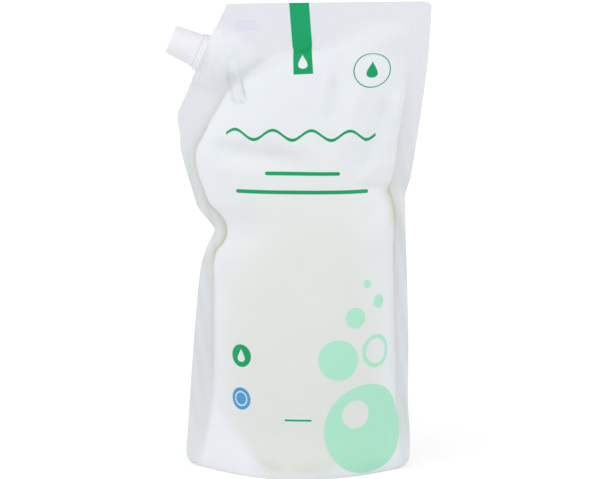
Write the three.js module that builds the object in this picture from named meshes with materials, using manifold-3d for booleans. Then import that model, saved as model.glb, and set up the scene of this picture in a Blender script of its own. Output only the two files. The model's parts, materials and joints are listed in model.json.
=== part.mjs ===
// Liquid soap refill pouch that stands on an open base, with a corner spout and a screw cap.
// Millimetres, +Z up, front towards -Y, origin on the floor under the middle of the base.

import * as THREE from "three";
import { mergeGeometries, mergeVertices } from "three/addons/utils/BufferGeometryUtils.js";
import Module from "manifold-3d";

const wasm = await Module();
wasm.setup();

// Pouch, overall sizes
const pouchHeight = 245; // floor to the top edge, standing
const pouchWidth = 131; // across the two side edges where the film lies flat
const baseDepth = 54; // front to back across the rim of the open base
const bellyDepth = 58; // front to back across the fullest part of the filled body
const headDepth = 24; // front to back across the slack head above the fill line
const leanDegrees = 8; // how far the head tips forward
const leanStart = 112; // height at which the head starts to tip
const leanBlend = 50; // height over which the tip grows to its full angle
const topSideShift = 3.2; // how far the top edge has moved sideways

// Pouch, welded seams and corners
const sealThickness = 0.6; // two films welded together
const topSeal = 11;
const cutCornerSeal = 16; // measured square to the cut edge
const cutCornerWidth = 26.8; // how much of the top edge the spout corner takes away
const cutCornerHeight = 59;
const bottomCornerRadius = 6.5;
const topCornerRadius = 3.5;

// Pouch, folds of the filled pack
const leftPinchHeight = 122; // where the left edge buckles inwards
const rightPinchHeight = 143;
const gussetHeight = 33; // height of the welded legs on either side of the base
const gussetLift = 14; // rise of the folded base film near its two ends
const skirtLift = 2.5; // hollow between the rim and the patch of base film on the floor
const floorPatchShare = 0.6; // share of the base depth that lies flat on the floor

// Spout, moulded in one piece and welded into the cut corner
const spoutPlace = 0.46; // share of the cut edge, from its top end, where the spout sits
const boreRadius = 4;
const neckWall = 1.2;
const neckHeight = 15; // from the film's edge to the mouth
const collarOverhang = 1.5; // how far the collar stands out past the cap
const collarStart = 1; // from the film's edge
const collarThickness = 1.8;
const collarTaper = 0.5;
const boatLength = 30; // along the cut edge
const boatCheek = 0.2; // boat wall outside the tube
const boatDepth = 12; // how far it reaches into the pouch
const channelLength = 30; // how far the film stays lifted beyond the boat
const ribCount = 4;
const ribHeight = 1.2;
const ribStand = 0.5; // how far each welding rib stands proud of the boat

// Screw thread shared by the neck and the cap
const threadPitch = 3;
const threadTurns = 1.5;
const threadRidge = 0.75; // radius of the rounded ridge
const threadStart = 7; // height of the neck ridge's lower end above the film's edge
const threadGap = 0.35; // radial room between each crest and the wall it faces

// Cap and its sealing disc
const capFootWall = 2.6; // wall at the open end, which is the thicker one
const capHeadWall = 1.2;
const capCrown = 1.7; // thickness of the top
const capEdgeRound = 1.3;
const capMouthChamfer = 0.6;
const linerThickness = 1.2;

// Clearances and mesh fineness
const seatGap = 0.3; // between pieces that rest against each other
const filmWrap = 0.9; // film that stands over the boat
const roundSides = 40;
const threadSides = 8;
const threadStepsPerTurn = 20;
const panelColumns = 24;
const sealColumns = 2;
const panelRows = 48;
const cornerRows = 4;
const baseRows = 12;

const { lerp, smoothstep, degToRad } = THREE.MathUtils;

// A smooth value through [height, value] stations.
function alongHeight(stations) {
  const heights = Float32Array.from(stations, (station) => station[0]);
  const values = Float32Array.from(stations, (station) => station[1]);
  const curve = new THREE.CubicInterpolant(heights, values, 1);
  return (z) => curve.evaluate(z)[0];
}

// Height of a bow above its chord, for a circular arc of that rise over a chord from -half to half.
function arcRise(position, half, rise) {
  if (rise <= 0 || Math.abs(position) >= half) return 0;
  const radius = (half * half + rise * rise) / (2 * rise);
  return Math.sqrt(radius * radius - position * position) - (radius - rise);
}

// Sizes that follow from the ones above.
const neckRadius = boreRadius + neckWall;
const boatHalf = neckRadius + boatCheek;
const capBore = neckRadius + threadRidge + threadGap;
const collarRadius = capBore + capFootWall + collarOverhang;
const capStart = collarStart + collarThickness + seatGap;
const linerStart = neckHeight + seatGap;
const capCeiling = linerStart + linerThickness + seatGap;
const capTop = capCeiling + capCrown;

// Solids: welding the vertices of a closed geometry, and going back to a geometry after a cut or a join.
function solidOf(geometry) {
  const bare = geometry.clone();
  bare.deleteAttribute("normal");
  bare.deleteAttribute("uv");
  const welded = mergeVertices(bare, 1e-4);
  const corners = welded.index.array;
  const kept = [];
  for (let i = 0; i < corners.length; i += 3) {
    const [a, b, c] = corners.subarray(i, i + 3);
    if (a !== b && b !== c && c !== a) kept.push(a, b, c);
  }
  return new wasm.Manifold(
    new wasm.Mesh({
      numProp: 3,
      vertProperties: welded.attributes.position.array,
      triVerts: new Uint32Array(kept),
    }),
  );
}

function geometryOf(solid) {
  const mesh = solid.getMesh();
  const geometry = new THREE.BufferGeometry();
  geometry.setAttribute("position", new THREE.BufferAttribute(mesh.vertProperties, 3));
  geometry.setIndex(new THREE.BufferAttribute(mesh.triVerts, 1));
  geometry.computeVertexNormals();
  return geometry;
}

// A turned solid about +Z from a closed profile of [radius, height] corners, anticlockwise.
function turned(profile, sides = roundSides) {
  const points = profile.map(([radius, height]) => new THREE.Vector2(radius, height));
  points.push(points[0]);
  return new THREE.LatheGeometry(points, sides).rotateX(Math.PI / 2);
}

// Pouch outline: how far the standing, filled pack draws each side edge in from its flat width.
const shoulderHeight = pouchHeight - cutCornerHeight;
const halfWidth = pouchWidth / 2;

const leftInset = alongHeight([
  [0, 7.2],
  [gussetHeight, 8.6],
  [lerp(gussetHeight, leftPinchHeight, 0.58), 12.2],
  [lerp(gussetHeight, leftPinchHeight, 0.79), 13.9],
  [lerp(gussetHeight, leftPinchHeight, 0.91), 16.9],
  [leftPinchHeight, 20.9],
  [lerp(leftPinchHeight, shoulderHeight, 0.14), 16.3],
  [lerp(leftPinchHeight, shoulderHeight, 0.27), 11.7],
  [lerp(leftPinchHeight, shoulderHeight, 0.53), 6.6],
  [shoulderHeight, 2.4],
]);
const rightInset = alongHeight([
  [0, 8.1],
  [gussetHeight, 9.1],
  [lerp(gussetHeight, rightPinchHeight, 0.78), 9.7],
  [lerp(gussetHeight, rightPinchHeight, 0.97), 10.7],
  [lerp(rightPinchHeight, pouchHeight, 0.05), 8.6],
  [lerp(rightPinchHeight, pouchHeight, 0.18), 6],
  [lerp(rightPinchHeight, pouchHeight, 0.42), 2.4],
  [pouchHeight, 0],
]);

// The welded side seams as seen from the front: the belly turns them, and each buckle widens them.
const leftSeal = alongHeight([
  [0, 1.5],
  [gussetHeight, 11],
  [lerp(gussetHeight, leftPinchHeight, 0.79), 7.8],
  [lerp(gussetHeight, leftPinchHeight, 0.9), 6],
  [leftPinchHeight, 7.4],
  [lerp(leftPinchHeight, shoulderHeight, 0.2), 4.8],
  [shoulderHeight, 8],
]);
const rightSeal = alongHeight([
  [0, 1.5],
  [gussetHeight, 7.2],
  [lerp(gussetHeight, rightPinchHeight, 0.87), 5.8],
  [lerp(rightPinchHeight, pouchHeight, 0.03), 9.6],
  [lerp(rightPinchHeight, pouchHeight, 0.15), 8.2],
  [pouchHeight, 9.6],
]);

// Half of the front-to-back depth, from the rim of the base to the top seal.
const headStart = pouchHeight - topSeal;
const bulge = alongHeight([
  [0, baseDepth / 2],
  [gussetHeight / 2, (baseDepth + bellyDepth) / 4],
  [lerp(gussetHeight, leanStart, 0.2), bellyDepth / 2],
  [lerp(gussetHeight, leanStart, 0.62), lerp(bellyDepth, headDepth, 0.06) / 2],
  [leanStart, lerp(bellyDepth, headDepth, 0.22) / 2],
  [lerp(leanStart, shoulderHeight, 0.34), lerp(bellyDepth, headDepth, 0.5) / 2],
  [lerp(leanStart, shoulderHeight, 0.68), lerp(bellyDepth, headDepth, 0.8) / 2],
  [shoulderHeight, headDepth / 2],
  [(shoulderHeight + headStart) / 2, headDepth / 3],
  [headStart, 0],
  [pouchHeight, 0],
]);

// Plane of the seams: upright below, tipping forward above.
function seamPlane(z) {
  const above = z - leanStart;
  if (above <= 0) return 0;
  const run = above < leanBlend ? (above * above) / (2 * leanBlend) : above - leanBlend / 2;
  return -Math.tan(degToRad(leanDegrees)) * run;
}

function cornerInset(z, height, radius) {
  const into = radius - Math.abs(z - height);
  return into > 0 ? radius - Math.sqrt(radius * radius - into * into) : 0;
}

const sideShift = (z) => topSideShift * smoothstep(z, shoulderHeight, pouchHeight);

function leftEdge(z) {
  const shoulder = -halfWidth + leftInset(shoulderHeight);
  if (z >= shoulderHeight) return shoulder + (cutCornerWidth * (z - shoulderHeight)) / cutCornerHeight;
  return -halfWidth + leftInset(z) + cornerInset(z, 0, bottomCornerRadius);
}

function rightEdge(z) {
  const corners = cornerInset(z, 0, bottomCornerRadius) + cornerInset(z, pouchHeight, topCornerRadius);
  return halfWidth + sideShift(z) - rightInset(z) - corners;
}

// Spout frame: origin on the cut edge, X up along it, Z out of the pouch.
const seamPoint = (x, z) => new THREE.Vector3(x, seamPlane(z), z);
const cutTop = seamPoint(leftEdge(pouchHeight), pouchHeight);
const cutFoot = seamPoint(leftEdge(shoulderHeight), shoulderHeight);
const spoutOrigin = cutTop.clone().lerp(cutFoot, spoutPlace);
const alongCut = cutTop.clone().sub(cutFoot).normalize();
const acrossFilm = new THREE.Vector3(1, 0, 0).cross(alongCut).normalize();
const outOfPouch = alongCut.clone().cross(acrossFilm).negate().normalize();
const spoutMatrix = new THREE.Matrix4()
  .makeBasis(alongCut, outOfPouch.clone().cross(alongCut), outOfPouch)
  .setPosition(spoutOrigin);

// The seam on the cut corner, parallel to the cut edge.
const cutSealRun = cutCornerSeal / Math.sin(Math.atan2(cutCornerHeight, cutCornerWidth));
function cutSealEdge(z) {
  return cutFoot.x + (cutCornerWidth * (z - shoulderHeight)) / cutCornerHeight + cutSealRun;
}

// Room that the film leaves over the spout's boat, and the channel that runs from it into the pouch.
function spoutRoom(x, z) {
  const from = seamPoint(x, z).sub(spoutOrigin);
  const along = from.dot(alongCut);
  const inward = -from.dot(outOfPouch);
  const fade = 1 - smoothstep(inward, boatDepth + 2, boatDepth + channelLength);
  return fade * arcRise(along, boatLength / 2 + 2 * filmWrap, boatHalf + filmWrap);
}

// A point of the front (side -1) or back (side 1) film. Across runs from -1 at the left edge
// to 1 at the right.
const bodyShare = 1 - (2 * sealColumns) / panelColumns;
function filmPoint(across, z, side) {
  const left = leftEdge(z);
  const right = rightEdge(z);
  const bodyLeft = Math.max(left + leftSeal(z), z > leftPinchHeight ? cutSealEdge(z) : left);
  const bodyRight = right - rightSeal(z);
  const half = (bodyRight - bodyLeft) / 2;
  let x = lerp(bodyLeft, bodyRight, (across / bodyShare + 1) / 2);
  if (across < -bodyShare) x = lerp(left, bodyLeft, (across + 1) / (1 - bodyShare));
  if (across > bodyShare) x = lerp(right, bodyRight, (1 - across) / (1 - bodyShare));
  const depth = arcRise(x - (bodyLeft + bodyRight) / 2, half, Math.max(0, bulge(z)));
  const stand = sealThickness / 2 + Math.hypot(depth, spoutRoom(x, z));
  return new THREE.Vector3(x, seamPlane(z) + side * stand, z);
}

// The base film between the two rims: flat on the floor in the middle, folded upwards near both ends.
function basePoint(across, through) {
  const atEdge = Math.abs(across) === 1;
  const share = atEdge ? (through <= 0 ? -1 : 1) : through;
  const point = filmPoint(across, 0, -1).lerp(filmPoint(across, 0, 1), (share + 1) / 2);
  const end = Math.abs(across);
  const fold = smoothstep(end, 0.42, 0.74) * (1 - smoothstep(end, 0.76, 0.97));
  const skirt = Math.max(0, Math.abs(share) - floorPatchShare) / (1 - floorPatchShare);
  point.z = gussetLift * fold * (1 - share * share);
  point.z += skirtLift * Math.sin(Math.PI * skirt) * (1 - end ** 4);
  return point;
}

// Heights of the rows of the film, close together round the rounded corners.
function rowHeights() {
  const heights = [];
  for (let i = 0; i < cornerRows; i++) {
    heights.push(bottomCornerRadius * (1 - Math.cos((i / cornerRows) * (Math.PI / 2))));
  }
  for (let i = 0; i <= panelRows; i++) {
    heights.push(lerp(bottomCornerRadius, pouchHeight - topCornerRadius, i / panelRows));
  }
  for (let i = 1; i <= cornerRows; i++) {
    heights.push(pouchHeight - topCornerRadius * (1 - Math.sin((i / cornerRows) * (Math.PI / 2))));
  }
  return heights;
}

// A grid whose points are placed by a function of its column share (-1 to 1) and row number.
function gridOf(columns, rows, place) {
  const grid = new THREE.PlaneGeometry(2, 2, columns, rows);
  const position = grid.attributes.position;
  for (let i = 0; i < position.count; i++) {
    const row = Math.round(((position.getY(i) + 1) / 2) * rows);
    position.setXYZ(i, ...place(position.getX(i), row).toArray());
  }
  return grid;
}

function pouchSolid() {
  const heights = rowHeights();
  const rows = heights.length - 1;
  const through = (row) => (2 * row) / baseRows - 1;
  return solidOf(
    mergeGeometries([
      gridOf(panelColumns, rows, (u, row) => filmPoint(u, heights[row], -1)),
      gridOf(panelColumns, rows, (u, row) => filmPoint(-u, heights[row], 1)),
      gridOf(1, rows, (u, row) => filmPoint(-1, heights[row], -u)),
      gridOf(1, rows, (u, row) => filmPoint(1, heights[row], u)),
      gridOf(panelColumns, 1, (u, row) => filmPoint(u, pouchHeight, 2 * row - 1)),
      gridOf(panelColumns, baseRows, (u, row) => basePoint(-u, through(row))),
    ]),
  );
}

// Boat: a canoe-shaped foot with welding ribs. Grow widens its outline all round.
function boatSlice(grow, start, height) {
  const half = boatLength / 2 + grow;
  const rise = boatHalf + grow;
  const radius = (half * half + rise * rise) / (2 * rise);
  const reach = Math.asin(half / radius);
  const shape = new THREE.Shape();
  shape.absarc(0, rise - radius, radius, Math.PI / 2 - reach, Math.PI / 2 + reach, false);
  shape.absarc(0, radius - rise, radius, -Math.PI / 2 - reach, -Math.PI / 2 + reach, false);
  const options = { depth: height, bevelEnabled: false, curveSegments: 10 };
  return solidOf(new THREE.ExtrudeGeometry(shape, options).translate(0, 0, start));
}

class Helix extends THREE.Curve {
  constructor(radius, start) {
    super();
    this.radius = radius;
    this.start = start;
  }

  getPoint(t, target = new THREE.Vector3()) {
    const turn = 2 * Math.PI * threadTurns * t;
    const height = this.start + threadPitch * threadTurns * t;
    return target.set(this.radius * Math.cos(turn), this.radius * Math.sin(turn), height);
  }
}

function threadSolid(radius, start) {
  const section = new THREE.Shape().absarc(0, 0, threadRidge, 0, 2 * Math.PI, false);
  const options = {
    steps: Math.round(threadTurns * threadStepsPerTurn),
    curveSegments: threadSides / 2,
    extrudePath: new Helix(radius, start),
  };
  return solidOf(new THREE.ExtrudeGeometry(section, options));
}

function spoutSolid() {
  const collarTop = collarStart + collarThickness;
  const tube = turned([
    [0, ribHeight - boatDepth],
    [neckRadius, ribHeight - boatDepth],
    [neckRadius, collarStart],
    [collarRadius - collarTaper, collarStart],
    [collarRadius, collarStart + collarTaper],
    [collarRadius, collarTop - collarTaper],
    [collarRadius - collarTaper, collarTop],
    [neckRadius, collarTop],
    [neckRadius, neckHeight],
    [0, neckHeight],
  ]);
  const ribStep = (boatDepth - seatGap - ribHeight) / (ribCount - 1);
  let spout = solidOf(tube).add(boatSlice(-ribStand, -boatDepth, boatDepth - seatGap));
  for (let i = 0; i < ribCount; i++) {
    spout = spout.add(boatSlice(0, i * ribStep - boatDepth, ribHeight));
  }
  const bore = new THREE.CylinderGeometry(boreRadius, boreRadius, 2 * (neckHeight + boatDepth), roundSides);
  return spout.add(threadSolid(neckRadius, threadStart)).subtract(solidOf(bore.rotateX(Math.PI / 2)));
}

function capSolid() {
  const headRadius = capBore + capHeadWall;
  const edge = [];
  for (let i = 0; i <= 4; i++) {
    const angle = (i / 4) * (Math.PI / 2);
    edge.push([
      headRadius - capEdgeRound * (1 - Math.cos(angle)),
      capTop - capEdgeRound * (1 - Math.sin(angle)),
    ]);
  }
  const shell = turned([
    [capBore + capMouthChamfer, capStart],
    [capBore + capFootWall, capStart],
    ...edge,
    [0, capTop],
    [0, capCeiling],
    [capBore, capCeiling],
    [capBore, capStart + capMouthChamfer],
  ]);
  return solidOf(shell).add(threadSolid(capBore, threadStart - threadPitch / 2));
}

function linerSolid() {
  const radius = capBore - seatGap;
  return new THREE.CylinderGeometry(radius, radius, linerThickness, roundSides)
    .rotateX(Math.PI / 2)
    .translate(0, 0, linerStart + linerThickness / 2);
}

// Assembly
function piece(name, geometry, color, roughness) {
  const mesh = new THREE.Mesh(geometry, new THREE.MeshStandardMaterial({ color, roughness, metalness: 0 }));
  mesh.name = name;
  return mesh;
}

const seat = geometryOf(boatSlice(seatGap, -boatDepth - seatGap, boatDepth + seatGap + collarStart));
const pouch = pouchSolid().subtract(solidOf(seat.applyMatrix4(spoutMatrix)));

const fitment = new THREE.Group();
spoutMatrix.decompose(fitment.position, fitment.quaternion, fitment.scale);
fitment.add(
  piece("spout", geometryOf(spoutSolid()), 0xf4f5f8, 0.4),
  piece("cap_liner", linerSolid(), 0xf2f2ee, 0.8),
  piece("cap", geometryOf(capSolid()), 0xf1f1f6, 0.42),
);

const refillPack = new THREE.Group();
refillPack.add(piece("pouch", geometryOf(pouch), 0xe6eaea, 0.45), fitment);

export default refillPack;
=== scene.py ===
"""Soap refill pouch: the film pack, its spout, its screw cap and the studio they stand in."""

import json
import math
from collections import namedtuple
from functools import partial
from types import SimpleNamespace

import bmesh
import bpy
from mathutils import Matrix, Vector, noise


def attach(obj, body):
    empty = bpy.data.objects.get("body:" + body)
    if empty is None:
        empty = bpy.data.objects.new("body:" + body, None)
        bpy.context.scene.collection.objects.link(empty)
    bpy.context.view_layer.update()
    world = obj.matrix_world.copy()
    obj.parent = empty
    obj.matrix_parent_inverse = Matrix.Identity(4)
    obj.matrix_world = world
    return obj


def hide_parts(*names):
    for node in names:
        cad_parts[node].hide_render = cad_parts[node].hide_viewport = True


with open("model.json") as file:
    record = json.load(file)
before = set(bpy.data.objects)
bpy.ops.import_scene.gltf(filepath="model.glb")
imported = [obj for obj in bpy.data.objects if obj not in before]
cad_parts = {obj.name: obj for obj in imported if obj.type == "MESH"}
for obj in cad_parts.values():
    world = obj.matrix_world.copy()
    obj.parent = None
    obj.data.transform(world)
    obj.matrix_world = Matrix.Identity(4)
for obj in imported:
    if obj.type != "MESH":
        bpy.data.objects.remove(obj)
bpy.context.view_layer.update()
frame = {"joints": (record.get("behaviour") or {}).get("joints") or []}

bl_info = {
    "name": "Soap refill pouch",
    "version": (1, 0, 0),
    "blender": (4, 5, 0),
    "location": "3D View > Sidebar > Refill pouch",
    "description": "Builds a filled stand-up refill pouch with a corner spout and a screw cap",
    "category": "Object",
}

MM = 0.001
TURN = next(joint for joint in frame["joints"] if joint["name"] == "cap_turn")


def linear(hex_colour):
    """Linear colour of an sRGB hex value."""
    channels = [int(hex_colour[i:i + 2], 16) / 255 for i in (0, 2, 4)]
    return [c / 12.92 if c <= 0.04045 else ((c + 0.055) / 1.055) ** 2.4 for c in channels] + [1.0]


def number(**kind):
    """A function that makes float properties of a kind."""
    return lambda name, description, default: bpy.props.FloatProperty(
        name=name, description=description, default=default, **kind)


length = number(unit="LENGTH")
power = number(subtype="POWER")
angle = number(subtype="ANGLE")
share = number(subtype="FACTOR")


def count(name, description, default):
    return bpy.props.IntProperty(name=name, description=description, default=default, min=4)


def colour(name, description, hex_colour):
    return bpy.props.FloatVectorProperty(
        name=name, description=description, default=linear(hex_colour), size=4, min=0, max=1, subtype="COLOR")


class PouchFilm(bpy.types.PropertyGroup):
    """Sizes and colours of the film pack."""

    height: length("Height", "Floor to the top edge", 0.2448)
    rim_depth: length("Base depth", "Seam plane to the front rim of the base", 0.0265)
    belly_depth: length("Belly depth", "Seam plane to the front of the belly", 0.029)
    head_depth: length("Head depth", "Seam plane to the front of the slack head", 0.012)
    seam: length("Seam", "Thickness of two welded films", 0.00036)
    base_corner: length("Base corners", "Radius of the two corners of the outline at the floor", 0.0075)
    top_corner: length("Top corner", "Radius of the outline's top corner", 0.0035)
    fill_height: length("Fill line", "Height of the soap inside", 0.18)
    creases: share("Creases", "Strength of the folds in the film", 1.0)
    columns: count("Columns", "Mesh columns across the body of a panel", 128)
    seal_columns: count("Seal columns", "Mesh columns across each side seal", 20)
    rows: count("Rows", "Mesh rows up a panel", 250)
    empty: colour("Empty film", "Film over the slack head", "EDF1F5")
    filled: colour("Filled film", "Film with soap behind it", "E6E9E5")
    upper_seal: colour("Upper seal", "Welded film round the head", "E8EBF1")
    lower_seal: colour("Lower seal", "Welded film beside the belly", "E6E9EC")
    thick_seal: colour("Thick seal", "Weld over the spout's foot and along the base", "F1F3F8")
    # The soap line's colour is partly soap seen through the film and partly painted shade of the crease by
    # the weld.
    caught_soap: colour("Caught soap", "Line of soap caught along a seam", "CDD0B4")
    green: colour("Green ink", "Strip, badge and lines", "02A264")
    mint: colour("Mint ink", "Bubbles", "B3ECD2")
    blue: colour("Blue ink", "Small disc", "4C9FD6")
    # A pale bluish field on the top seal, a little darker than the seal round it.
    pale: colour("Pale ink", "Field for the date stamp", "E3E6F2")


class Fitment(bpy.types.PropertyGroup):
    """Sizes and colours of the spout, the disc and the cap. Heights run out from the film's cut edge."""

    bore: length("Bore", "Bore radius", 0.004)
    neck: length("Neck", "Neck radius", 0.0052)
    neck_top: length("Mouth", "Height of the mouth", 0.015)
    collar: length("Collar", "Collar radius", 0.0101)
    collar_low: length("Collar foot", "Underside of the collar", 0.0002)
    collar_high: length("Collar top", "Upper side of the collar", 0.0028)
    boat_half: length("Boat half length", "Half of the welded foot, along the film's edge", 0.015)
    boat_rise: length("Boat half thickness", "Half of the welded foot, through the film", 0.0054)
    boat_depth: length("Boat depth", "How far the foot reaches into the pouch", 0.012)
    pitch: length("Pitch", "Thread pitch", 0.003)
    ridge: length("Ridge", "Radius of the thread's rounded ridge", 0.00075)
    thread_start: length("Thread start", "Height where the neck's thread starts", 0.007)
    cap_bore: length("Cap bore", "Inner radius of the cap", 0.0063)
    cap_low: length("Cap foot", "Open end of the cap", 0.00286)
    cap_high: length("Cap top", "Closed end of the cap", 0.0185)
    cap_ceiling: length("Cap ceiling", "Inner side of the cap's top", 0.0168)
    cap_foot: length("Cap foot radius", "Outer radius at the open end", 0.0092)
    cap_head: length("Cap head radius", "Outer radius at the closed end", 0.0075)
    disc: length("Disc", "Thickness of the sealing disc", 0.0012)
    spout_colour: colour("Spout", "Plastic of the spout", "F7F8FC")
    cap_colour: colour("Cap", "Plastic of the cap", "F1F1F7")
    disc_colour: colour("Disc", "Foam of the sealing disc", "EEEEE8")


class Studio(bpy.types.PropertyGroup):
    """Camera, light and paper."""

    azimuth: angle("Azimuth", "Camera, round from the front", math.radians(4))
    elevation: angle("Elevation", "Camera, above the horizon", math.radians(9))
    distance: length("Distance", "Camera to the pouch", 1.6)
    view_width: length("View width", "Width of the picture at the pouch", 0.3102)
    target: bpy.props.FloatVectorProperty(
        name="Target", description="Middle of the picture", default=(-0.0003, 0.0, 0.1205),
        subtype="TRANSLATION")
    left_lamp: power("Left softbox", "Power of the softbox on the left", 4.8)
    right_lamp: power("Right softbox", "Power of the softbox on the right", 4.6)
    top_lamp: power("Top softbox", "Power of the softbox above the camera", 4.2)
    room: share("Room", "Strength of the light all round", 0.63)
    near_lift: share("Near lift", "How much the paper beside the pouch is lifted for the eye", 0.3)
    far_lift: share("Far lift", "How much the paper far behind the pouch is lifted for the eye", 0.8)
    paper_colour: colour("Paper", "Paper that the pouch stands on", "F4F4F4")


class PouchSettings(bpy.types.PropertyGroup):
    """Everything that can be set on the pouch."""

    film: bpy.props.PointerProperty(type=PouchFilm)
    fitment: bpy.props.PointerProperty(type=Fitment)
    studio: bpy.props.PointerProperty(type=Studio)


def smooth_curve(*stations):
    """A function that runs smoothly through (place, value) stations."""
    places = [place for place, _ in stations]
    values = [value for _, value in stations]
    last = len(places) - 1
    slopes = []
    for i in range(last + 1):
        low = max(0, i - 1)
        high = min(last, i + 1)
        slopes.append((values[high] - values[low]) / (places[high] - places[low]))

    def value_at(place):
        if place <= places[0]:
            return values[0]
        if place >= places[last]:
            return values[last]
        i = next(k for k in range(last) if place <= places[k + 1])
        run = places[i + 1] - places[i]
        t = (place - places[i]) / run
        rest = 1 - t
        return (
            rest * rest * (1 + 2 * t) * values[i]
            + t * t * (3 - 2 * t) * values[i + 1]
            + run * t * rest * (rest * slopes[i] - t * slopes[i + 1])
        )

    return value_at


def smooth_step(value, low, high):
    t = min(1.0, max(0.0, (value - low) / (high - low)))
    return t * t * (3 - 2 * t)


def mix(a, b, part):
    return a + (b - a) * part


def hump(gap, width):
    """A soft hump: 1 at no gap, a third of that at one width."""
    return math.exp(-((gap / width) ** 2))


def arc_rise(place, half, rise):
    """Height of a circular arc of that rise, over a chord from -half to half."""
    if rise <= 0 or abs(place) >= half:
        return 0.0
    radius = (half * half + rise * rise) / (2 * rise)
    return math.sqrt(radius * radius - place * place) - (radius - rise)


def corner_cut(gap, radius):
    """How far a rounded corner draws an outline in, at that gap from the corner's end."""
    if gap >= radius:
        return 0.0
    rest = radius - max(0.0, gap)
    return radius - math.sqrt(radius * radius - rest * rest)


def ramp(low, high, start=0.0, end=1.0):
    """A function that eases from start to end between two places."""
    return lambda place: mix(start, end, smooth_step(place, low, high))


# A fold is felt this many half widths away.
FOLD_REACH = 2.6


class Fold:
    """A soft ridge or groove along a path of (x, z) points, which fades over its nose and its tail."""

    def __init__(self, path, width, height, tail=0.45, nose=0.0):
        self.path = path
        self.width = width
        self.height = height
        self.tail = tail
        self.nose = nose
        self.total = sum(math.dist(a, b) for a, b in zip(path, path[1:]))
        reach = FOLD_REACH * width
        self.low = [min(values) - reach for values in zip(*path)]
        self.high = [max(values) + reach for values in zip(*path)]

    def rise(self, x, z):
        if not (self.low[0] < x < self.high[0] and self.low[1] < z < self.high[1]):
            return 0.0
        gap, place = math.inf, 0.0
        travelled = 0.0
        for a, b in zip(self.path, self.path[1:]):
            run = math.dist(a, b)
            t = ((x - a[0]) * (b[0] - a[0]) + (z - a[1]) * (b[1] - a[1])) / (run * run)
            t = min(1.0, max(0.0, t))
            here = math.dist((x, z), (mix(a[0], b[0], t), mix(a[1], b[1], t)))
            if here < gap:
                gap, place = here, travelled + t * run
            travelled += run
        fade = 1 - smooth_step(place / self.total, 1 - self.tail, 1.0)
        if self.nose:
            fade *= smooth_step(place / self.total, 0.0, self.nose)
        return self.height * hump(gap, self.width) * fade


# Outline of the standing pack, seen square on, without its corners: (height, x) in millimetres.
left_edge = smooth_curve(
    (8, -60), (103, -52.5), (117, -48.5), (124.5, -45), (128, -46.5), (136.5, -53), (141, -54.5),
    (166, -61.5), (174.5, -62), (184, -63), (187.5, -62.5))
right_edge = smooth_curve(
    (6, 57), (19.5, 57), (36.5, 56), (70.5, 56), (142, 54), (146, 54.5), (154.5, 57), (209, 65),
    (241, 67.5))

# Where the welded seams end and the filled body begins.
left_seam = smooth_curve(
    (0, -51), (5.5, -50.5), (35, -46), (104, -45), (114.5, -42.5), (119, -39), (122.5, -37.2), (127, -36.8),
    (131, -38), (134.5, -40.6), (140, -46), (148, -49), (156.5, -52), (165, -53), (170, -52), (197, -37.5),
    (203, -31.5), (213, -18.5), (217, -13), (221, 0), (225, 17), (230, 25.5), (245, 28))
right_seam = smooth_curve(
    (0, 48), (7.5, 52), (36.5, 50), (63, 49.5), (115.5, 48), (131.5, 48), (142, 46.5), (148, 44.5),
    (153.5, 47), (160.5, 49), (173.5, 50.5), (194.5, 54), (215, 57.5), (245, 58))

# How far the body laps over each seam where the pack slumps, most of all this far inside the seam.
left_lap = smooth_curve((96, 0), (106, 1.2), (116, 2.2), (160, 2.2), (174, 1.4), (188, 1.0), (202, 0))
right_lap = smooth_curve((84, 0), (112, 0.8), (128, 1.8), (142, 2.2), (150, 2.0), (158, 0.8), (172, 0))
LAP_PEAK = 2

# Soap trapped along each seam, and painted shade of the crease there, from 0 to 1, and the line's half widths
# outside and inside the seam.
left_line = smooth_curve(
    (44, 0), (60, 0.2), (96, 0.25), (108, 0.4), (115, 0.9), (136, 0.9), (144, 0.5), (168, 0.35),
    (196, 0.2), (206, 0))
right_line = smooth_curve(
    (40, 0), (60, 0.12), (124, 0.15), (130, 0.6), (138, 0.9), (147, 0.9), (150, 0.3), (156, 0.08), (230, 0))
LEFT_LINE_WIDTHS = (2.6, 1.6)
RIGHT_LINE_WIDTHS = (1.6, 3.0)

# Section of the body: how flat it is in the middle, and how full at its sides (small where they are steep).
flatness = smooth_curve((0, 2.0), (40, 2.7), (110, 2.7), (140, 2.4))
fullness = smooth_curve(
    (0, 1.05), (18, 0.9), (60, 0.66), (104, 0.62), (130, 0.58), (180, 0.6), (208, 0.85), (222, 1.5))

# The weld of the front film to the base, from the middle outwards: its top, the blur of that, its strength.
base_weld = smooth_curve(
    (0, 4), (13, 4.5), (20, 8.5), (25, 15), (31.5, 21.5), (40, 31.5), (45, 42), (48, 24), (52, 6), (57, -6))
base_blur = ramp(12, 32, 0.8, 8)
base_strength = ramp(12, 28, 0.3, 1)

# Soap trapped over the base weld, and painted shade of the fold there, in ripples, fading outwards.
LOW_LINE_RISE = 2
LOW_LINE_WIDTH = 2.5
LOW_LINE_SHARE = 0.13
LOW_LINE_RIPPLE = 0.08
low_line = ramp(18, 28, 1, 0)

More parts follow.
